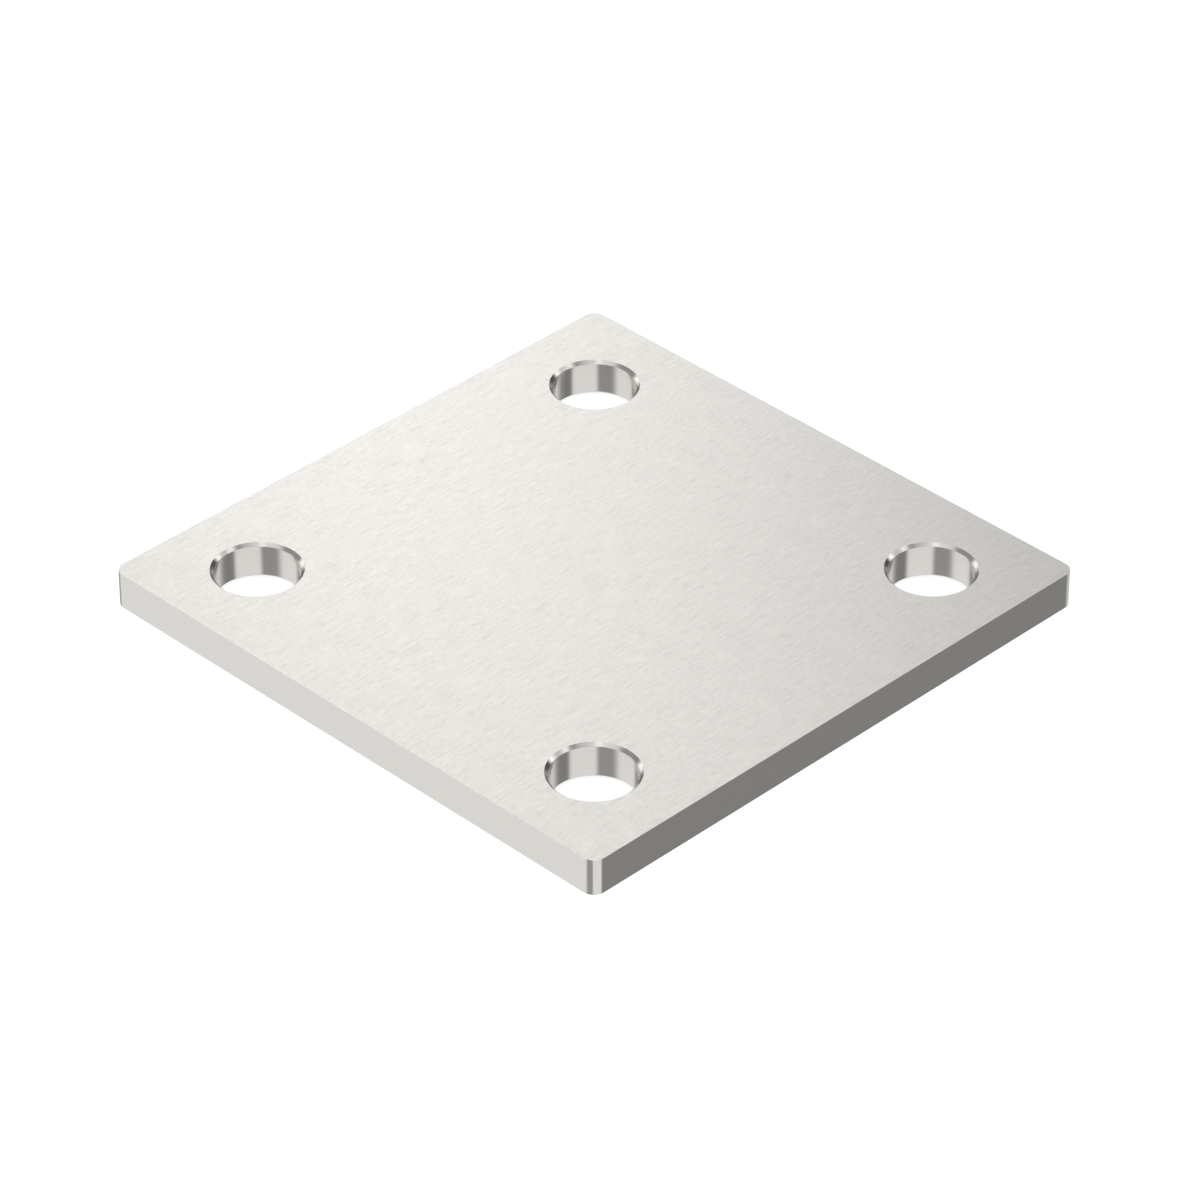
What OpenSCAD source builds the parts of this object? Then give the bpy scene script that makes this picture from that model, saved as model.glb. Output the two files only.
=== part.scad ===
// Square anchor plate: one flat piece of stainless steel with rounded corners
// and a chamfered anchor hole near each corner.
// The origin is the centre of the underside. X and Y run along the edges and
// Z points out of the show face. All lengths are in millimetres.

/* [Plate] */
// Length of the plate along X
plate_length = 100; // [80:1:200]
// Width of the plate along Y
plate_width = 100; // [80:1:200]
// Thickness of the plate
plate_thickness = 6; // [3:0.5:20]
// Radius of the four corners, seen from above
corner_radius = 2; // [0.5:0.5:5]

/* [Anchor holes] */
// Diameter of each through hole
hole_diameter = 13; // [6:0.5:18]
// Distance from a hole's centre to each of its two nearest edges
hole_edge_distance = 15; // [12:0.5:25]
// Depth of the 45 degree chamfer at both mouths of a hole
hole_chamfer = 0.5; // [0.2:0.1:1]

/* [Hidden] */

// Circles are drawn with this many sides
$fn = 128;

// Brushed stainless steel, a pale and slightly warm grey
steel_colour = [0.90, 0.89, 0.87];

// How far a cutting shape runs past the face that it cuts
cut_margin = 1;

// From the middle of the plate to the centres of the corner arcs
arc_x = plate_length / 2 - corner_radius;
arc_y = plate_width / 2 - corner_radius;

// From the middle of the plate to the centres of the holes
hole_x = plate_length / 2 - hole_edge_distance;
hole_y = plate_width / 2 - hole_edge_distance;

// Places its children in each of the four quarters of the plate, at x and y
// from the middle, turned so that their own +X and +Y point at the corner.
module at_four_corners(x, y) {
    for (side_x = [0, 1], side_y = [0, 1])
        mirror([side_x, 0, 0])
            mirror([0, side_y, 0])
                translate([x, y, 0])
                    children();
}

// The waste outside one corner's arc, with the centre of the arc at the origin.
module corner_waste() {
    difference() {
        square(corner_radius + cut_margin);
        circle(corner_radius);
    }
}

// The outline of the plate: a rectangle with its four corners rounded.
module plate_outline() {
    difference() {
        square([plate_length, plate_width], center = true);
        at_four_corners(arc_x, arc_y) corner_waste();
    }
}

// Half the section of what a drill and a countersink remove from one hole,
// from the axis outwards: the bore, and the chamfers that open at both faces.
module hole_section() {
    bore_radius = hole_diameter / 2;
    mouth_radius = bore_radius + hole_chamfer + cut_margin;
    bottom = -cut_margin;
    top = plate_thickness + cut_margin;
    polygon([
        [0, bottom],
        [mouth_radius, bottom],
        [bore_radius, hole_chamfer],
        [bore_radius, plate_thickness - hole_chamfer],
        [mouth_radius, top],
        [0, top]
    ]);
}

// One anchor hole, turned from its section, on its own axis.
module anchor_hole() {
    rotate_extrude() hole_section();
}

// The whole plate, which is a single piece.
module anchor_plate() {
    color(steel_colour)
        difference() {
            linear_extrude(plate_thickness) plate_outline();
            at_four_corners(hole_x, hole_y) anchor_hole();
        }
}

anchor_plate();
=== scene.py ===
# The look of a square anchor plate of brushed stainless steel, lying on a
# plain white floor and seen as in the reference photograph. Lengths are in
# metres, or in millimetres where a name says so, and angles in degrees.
# Azimuths are counted from +X towards +Y.

from collections import namedtuple
from math import cos, pi, radians, sin

import bpy
from mathutils import Matrix, Vector

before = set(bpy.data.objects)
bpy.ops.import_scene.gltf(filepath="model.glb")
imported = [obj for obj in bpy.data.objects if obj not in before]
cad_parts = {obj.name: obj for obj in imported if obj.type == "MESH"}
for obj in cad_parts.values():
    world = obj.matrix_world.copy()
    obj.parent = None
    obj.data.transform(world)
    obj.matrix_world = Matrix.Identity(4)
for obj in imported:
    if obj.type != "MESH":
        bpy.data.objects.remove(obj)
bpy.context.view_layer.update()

# Camera
VIEW_AZIMUTH = -45.0
VIEW_ELEVATION = 35.24
VIEW_DISTANCE = 0.8817
LENS_MM = 179.43
SENSOR_MM = 36.0
# How far the lens stands right of and above the line through the origin
LENS_RIGHT = 0.00084
LENS_UP = 0.00035
NEAREST = 0.05
FARTHEST = 20.0

# Floor
FLOOR_RADIUS = 4.0
FLOOR_SIDES = 96
# The floor lies this little under the plate, so that the two never flicker
FLOOR_GAP = 0.00005
FLOOR_COLOUR = (0.80, 0.80, 0.80, 1.0)
# What the floor adds to its own lit colour, for the camera, to read as white
FLOOR_WHITENESS = 0.62

# Steel
STEEL = (0.680, 0.665, 0.633)
# The brushed faces are those whose normal is nearer to upright than this
UPRIGHT = 0.9
BRUSHED_ROUGHNESS = 0.295
POLISHED_ROUGHNESS = 0.20
ANISOTROPY = 0.81

# Grain: the size of one streak across and along, and how strongly it shows
FINE_STREAK = (0.00027, 0.0012)
LONG_STREAK = (0.00037, 0.005)
STREAK_THICKNESS = 0.00012
STREAK_DETAIL = 1.0
LONG_SHARE = 0.5
DEEPEST_GROOVE = 0.69
MEAN_GROOVE = 0.26
STREAK_COLOUR = 0.42
# Below 0, so that the dark streaks are the rougher ones
STREAK_ROUGHNESS = -0.07
STREAK_DEPTH = 0.000003
# How much of the grain is left on the smooth edges, chamfers and bores
POLISHED_GRAIN = 0.20

# Rays that run round the wall of a hole bounce many times before they leave it
GLOSSY_BOUNCES = 12

# Studio, as the steel mirrors it: a white backdrop of strength 1 all round,
# with rings of boards and lamps in front of it, one above the other. A ring
# has the elevation where it starts, how softly it does so, and its boards. A
# board has the azimuth where it starts, how softly it does so, and its level.
# It reaches to the next board, and the last board reaches round to the first.
# Where the level is the backdrop's, nothing stands in front of it.
BACKDROP_WHITENESS = 1.0
Ring = namedtuple("Ring", "start softness boards")
Board = namedtuple("Board", "start softness level")
RINGS = [
    Ring(-90, 1, [
        Board(-102, 24, 0.50),  # dark front
        Board(-53, 14, BACKDROP_WHITENESS),
        Board(21, 14, 0.45),  # dark right
        Board(67, 36, 0.86),  # grey back
        Board(158, 36, 0.40),  # grey left
        Board(-169, 12, BACKDROP_WHITENESS),
    ]),
    Ring(-43, 24, [
        Board(-104, 24, 0.33),  # dark front
        Board(-53, 14, BACKDROP_WHITENESS),
        Board(19, 14, 0.22),  # dark right
        Board(67, 36, 0.86),  # grey back
        Board(98, 24, 0.40),  # dark far
        Board(124, 12, 0.86),  # grey side
        Board(156, 24, 0.32),  # grey left
        Board(-169, 10, BACKDROP_WHITENESS),
    ]),
    Ring(-12, 16, [
        Board(-48, 20, 0.86),  # grey front
        Board(-23, 26, 0.70),  # grey middle
        Board(2, 16, 0.34),  # dark slot
        Board(22, 12, 1.38),  # lamp slot
        Board(37, 12, 0.73),  # grey right
        Board(60, 8, 1.85),  # lamp right
        Board(72, 10, 0.06),  # black right
        Board(98, 24, 0.38),  # dark back
        Board(150, 20, 0.65),  # grey far
        Board(174, 20, 1.50),  # lamp left
        Board(-167, 10, 0.28),  # dark left
        Board(-143, 10, BACKDROP_WHITENESS),
    ]),
    Ring(21, 8, [
        Board(-115, 18, 0.94),  # grey haze
        Board(-90, 16, BACKDROP_WHITENESS),
        Board(-69, 12, 1.30),  # lamp front
        Board(-49, 20, 0.88),  # grey front
        Board(-23, 26, 0.70),  # grey middle
        Board(2, 16, 0.34),  # dark slot
        Board(22, 12, 1.38),  # lamp slot
        Board(37, 12, 0.73),  # grey right
        Board(60, 8, 1.60),  # lamp right
        Board(72, 10, 0.20),  # black right
        Board(92, 20, 0.42),  # dark back
        Board(172, 20, BACKDROP_WHITENESS),
        Board(-168, 14, 0.34),  # dark left
    ]),
    Ring(70, 20, [
        Board(0, 1, 0.80),  # grey ceiling
    ]),
]
# The rings are cut open here, where no board starts, and each ring's boards
# are listed from here on
RING_SEAM = -135
# A tall narrow lamp, which the top face mirrors: azimuth and elevation from
# and to, each with its softness, and its level
KEY_LAMP_ACROSS = (134.5, 144.5, 3)
KEY_LAMP_UPRIGHT = (8, 40, 26)
KEY_LAMP_LEVEL = 2.65


# Building blocks for node trees

def add_node(tree, kind, settings=None, inputs=None):
    """Adds a node, sets its properties and feeds its sockets with values or links."""
    made = tree.nodes.new(kind)
    for name, value in (settings or {}).items():
        setattr(made, name, value)
    for socket, value in (inputs or {}).items():
        if isinstance(value, bpy.types.NodeSocket):
            tree.links.new(value, made.inputs[socket])
        else:
            made.inputs[socket].default_value = value
    return made


def calculate(tree, operation, *values):
    """One Math node, with its result."""
    made = add_node(tree, "ShaderNodeMath", {"operation": operation}, dict(enumerate(values)))
    return made.outputs["Value"]


def smooth_step(tree, value, middle, softness, start, end):
    """Start below the middle and end above it, with a soft change between."""
    made = add_node(tree, "ShaderNodeMapRange", {"interpolation_type": "SMOOTHSTEP"}, {
        "Value": value,
        "From Min": middle - softness / 2,
        "From Max": middle + softness / 2,
        "To Min": start,
        "To Max": end,
    })
    return made.outputs["Result"]


def mix_values(tree, factor, first, second):
    """A blend of two numbers."""
    made = add_node(tree, "ShaderNodeMix", {"data_type": "FLOAT"}, {
        "Factor": factor,
        "A": first,
        "B": second,
    })
    return made.outputs["Result"]


def mix_shaders(tree, factor, first, second):
    """The first shader where the factor is 0, and the second where it is 1."""
    made = add_node(tree, "ShaderNodeMixShader", inputs={0: factor, 1: first, 2: second})
    return made.outputs["Shader"]


def finish_tree(tree, output_kind, surface):
    """Links the surface to the tree's output."""
    add_node(tree, output_kind, inputs={"Surface": surface})


def empty_tree(owner):
    """The bare node tree of a material or a world."""
    owner.use_nodes = True
    owner.node_tree.nodes.clear()
    return owner.node_tree


def seen_directly(tree):
    """1 for the camera's own rays and those that go through glass, and 0 for mirrored ones."""
    rays = add_node(tree, "ShaderNodeLightPath")
    return calculate(tree, "MAXIMUM", rays.outputs["Is Camera Ray"],
                     rays.outputs["Is Transmission Ray"])


# Studio

def span_mask(tree, angle, span):
    """1 where an angle in radians lies in a span, which is given in degrees."""
    low, high, softness = map(radians, span)
    rise = smooth_step(tree, angle, low, softness, 0.0, 1.0)
    fall = smooth_step(tree, angle, high, softness, 1.0, 0.0)
    return calculate(tree, "MULTIPLY", rise, fall)


def turns_from_seam(azimuth):
    """Where an azimuth in degrees lies on a ring, from 0 to 1."""
    return (azimuth - RING_SEAM) % 360 / 360


def grey(level):
    """A neutral colour of one level."""
    return (level, level, level, 1.0)


def make_ring(tree, turn, boards):
    """The levels of one ring's boards, by the turn from the seam."""
    level_at_seam = boards[-1].level
    level_before = level_at_seam
    stops = []
    for azimuth, softness, level in boards:
        stops.append((turns_from_seam(azimuth - softness / 2), level_before))
        stops.append((turns_from_seam(azimuth + softness / 2), level))
        level_before = level
    made = add_node(tree, "ShaderNodeValToRGB", inputs={"Fac": turn})
    ramp = made.color_ramp
    ramp.interpolation = "EASE"
    for seam in ramp.elements:
        seam.color = grey(level_at_seam)
    for position, level in stops:
        ramp.elements.new(position).color = grey(level)
    return made.outputs["Color"]


def studio_level(tree):
    """How bright the studio is in the direction that the steel mirrors."""
    place = add_node(tree, "ShaderNodeTexCoord")
    parts = add_node(tree, "ShaderNodeSeparateXYZ", inputs={"Vector": place.outputs["Generated"]})
    azimuth = calculate(tree, "ARCTAN2", parts.outputs["Y"], parts.outputs["X"])
    elevation = calculate(tree, "ARCSINE", parts.outputs["Z"])
    turn = calculate(tree, "SUBTRACT", azimuth, radians(RING_SEAM))
    turn = calculate(tree, "DIVIDE", turn, 2 * pi)
    turn = calculate(tree, "FRACT", turn)
    level = BACKDROP_WHITENESS
    for start, softness, boards in RINGS:
        ring = make_ring(tree, turn, boards)
        level = smooth_step(tree, elevation, radians(start), radians(softness), level, ring)
    lamp = calculate(tree, "MULTIPLY", span_mask(tree, azimuth, KEY_LAMP_ACROSS),
                     span_mask(tree, elevation, KEY_LAMP_UPRIGHT))
    return mix_values(tree, lamp, level, KEY_LAMP_LEVEL)


def make_studio():
    """The world: the studio for the steel, and its bare white backdrop for the camera."""
    world = bpy.data.worlds.new("studio")
    tree = empty_tree(world)
    studio = add_node(tree, "ShaderNodeBackground", inputs={
        "Color": grey(1.0),
        "Strength": studio_level(tree),
    })
    backdrop = add_node(tree, "ShaderNodeBackground", inputs={
        "Color": grey(1.0),
        "Strength": BACKDROP_WHITENESS,
    })
    choice = mix_shaders(tree, seen_directly(tree), studio.outputs["Background"],
                         backdrop.outputs["Background"])
    finish_tree(tree, "ShaderNodeOutputWorld", choice)
    bpy.context.scene.world = world


# Floor

def floor_material():
    """A pale floor that reads as white, keeps the shadow and is open from below."""
    material = bpy.data.materials.new("white_floor")
    tree = empty_tree(material)
    glow = calculate(tree, "MULTIPLY", seen_directly(tree), FLOOR_WHITENESS)
    matt = add_node(tree, "ShaderNodeBsdfDiffuse", inputs={"Color": FLOOR_COLOUR})
    white = add_node(tree, "ShaderNodeEmission", inputs={"Strength": glow})
    both = add_node(tree, "ShaderNodeAddShader", inputs={
        0: matt.outputs["BSDF"],
        1: white.outputs["Emission"],
    })
    side = add_node(tree, "ShaderNodeNewGeometry")
    clear = add_node(tree, "ShaderNodeBsdfTransparent")
    choice = mix_shaders(tree, side.outputs["Backfacing"], both.outputs["Shader"],
                         clear.outputs["BSDF"])
    finish_tree(tree, "ShaderNodeOutputMaterial", choice)
    return material


def make_floor():
    """A wide round floor just under the plate."""
    corners = []
    for step in range(FLOOR_SIDES):
        turn = 2 * pi * step / FLOOR_SIDES
        corners.append((FLOOR_RADIUS * cos(turn), FLOOR_RADIUS * sin(turn), -FLOOR_GAP))
    mesh = bpy.data.meshes.new("floor")
    mesh.from_pydata(corners, [], [tuple(range(FLOOR_SIDES))])
    mesh.materials.append(floor_material())
    floor = bpy.data.objects.new("floor", mesh)
    bpy.context.collection.objects.link(floor)
    # The steel mirrors what the studio has below the horizon, so the floor
    # neither shows in the steel nor keeps that light from reaching it
    floor.visible_glossy = False
    floor.visible_shadow = False


# Steel

def streaks(tree, place, size):
    """Noise drawn out along the grain, from 0 to 1."""
    across, along = size
    scaled = add_node(tree, "ShaderNodeVectorMath", {"operation": "MULTIPLY"}, {
        0: place,
        1: (1 / across, 1 / along, 1 / STREAK_THICKNESS),
    })
    noise = add_node(tree, "ShaderNodeTexNoise", inputs={
        "Vector": scaled.outputs["Vector"],
        "Scale": 1.0,
        "Detail": STREAK_DETAIL,
    })
    return noise.outputs["Fac"]


def brushed_mask(tree):
    """1 on the two brushed faces, and 0 on the edges, in the holes and on their chamfers."""
    geometry = add_node(tree, "ShaderNodeNewGeometry")
    normal = add_node(tree, "ShaderNodeSeparateXYZ", inputs={
        "Vector": geometry.outputs["True Normal"],
    })
    upright = calculate(tree, "ABSOLUTE", normal.outputs["Z"])
    return calculate(tree, "GREATER_THAN", upright, UPRIGHT)


def steel_grain(tree, brushed):
    """Streaks around 0, of which the dark ones are the stronger, and fainter where smooth."""
    place = add_node(tree, "ShaderNodeTexCoord").outputs["Object"]
    both = mix_values(tree, LONG_SHARE, streaks(tree, place, FINE_STREAK),
                      streaks(tree, place, LONG_STREAK))
    groove = calculate(tree, "SUBTRACT", 1.0, both)
    groove = calculate(tree, "MINIMUM", groove, DEEPEST_GROOVE)
    groove = calculate(tree, "MULTIPLY", groove, groove)
    grain = calculate(tree, "SUBTRACT", MEAN_GROOVE, groove)
    return calculate(tree, "MULTIPLY", grain, mix_values(tree, brushed, POLISHED_GRAIN, 1.0))


def steel_material():
    """Stainless steel: brushed on the two faces, smooth and bright elsewhere."""
    material = bpy.data.materials.new("brushed_steel")
    tree = empty_tree(material)
    brushed = brushed_mask(tree)
    grain = steel_grain(tree, brushed)
    shade = calculate(tree, "MULTIPLY_ADD", grain, STREAK_COLOUR, 1.0)
    colour = add_node(tree, "ShaderNodeVectorMath", {"operation": "SCALE"}, {
        0: STEEL,
        "Scale": shade,
    })
    finish = mix_values(tree, brushed, POLISHED_ROUGHNESS, BRUSHED_ROUGHNESS)
    roughness = calculate(tree, "MULTIPLY_ADD", grain, STREAK_ROUGHNESS, finish)
    bump = add_node(tree, "ShaderNodeBump", inputs={
        "Strength": 1.0,
        "Distance": STREAK_DEPTH,
        "Height": grain,
    })
    # Light spreads across the marks: along X on the brushed faces, and up and
    # down on the edges and in the holes, where the marks run round the plate
    smooth = calculate(tree, "SUBTRACT", 1.0, brushed)
    tangent = add_node(tree, "ShaderNodeCombineXYZ", inputs={"X": brushed, "Z": smooth})
    steel = add_node(tree, "ShaderNodeBsdfPrincipled", inputs={
        "Base Color": colour.outputs["Vector"],
        "Metallic": 1.0,
        "Roughness": roughness,
        "Anisotropic": ANISOTROPY,
        "Normal": bump.outputs["Normal"],
        "Tangent": tangent.outputs["Vector"],
    })
    finish_tree(tree, "ShaderNodeOutputMaterial", steel.outputs["BSDF"])
    return material


def dress_plate():
    """Gives the CAD plate its steel."""
    steel = steel_material()
    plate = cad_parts["anchor_plate"]
    for slot in plate.material_slots:
        slot.material = steel


# Camera

def make_camera():
    """The photograph's camera: straight at the plate's middle, from high on one corner."""
    azimuth = radians(VIEW_AZIMUTH)
    elevation = radians(VIEW_ELEVATION)
    back = Vector((cos(azimuth) * cos(elevation), sin(azimuth) * cos(elevation), sin(elevation)))
    right = Vector((-sin(azimuth), cos(azimuth), 0.0))
    up = back.cross(right)
    data = bpy.data.cameras.new("camera")
    data.lens = LENS_MM
    data.sensor_width = SENSOR_MM
    data.sensor_fit = "HORIZONTAL"
    data.clip_start = NEAREST
    data.clip_end = FARTHEST
    camera = bpy.data.objects.new("camera", data)
    turn = Matrix((right, up, back)).transposed()
    spot = back * VIEW_DISTANCE + right * LENS_RIGHT + up * LENS_UP
    camera.matrix_world = Matrix.Translation(spot) @ turn.to_4x4()
    bpy.context.collection.objects.link(camera)
    bpy.context.scene.camera = camera



make_studio()
make_floor()
dress_plate()
make_camera()
bpy.context.scene.view_settings.view_transform = "Standard"
bpy.context.scene.cycles.glossy_bounces = GLOSSY_BOUNCES
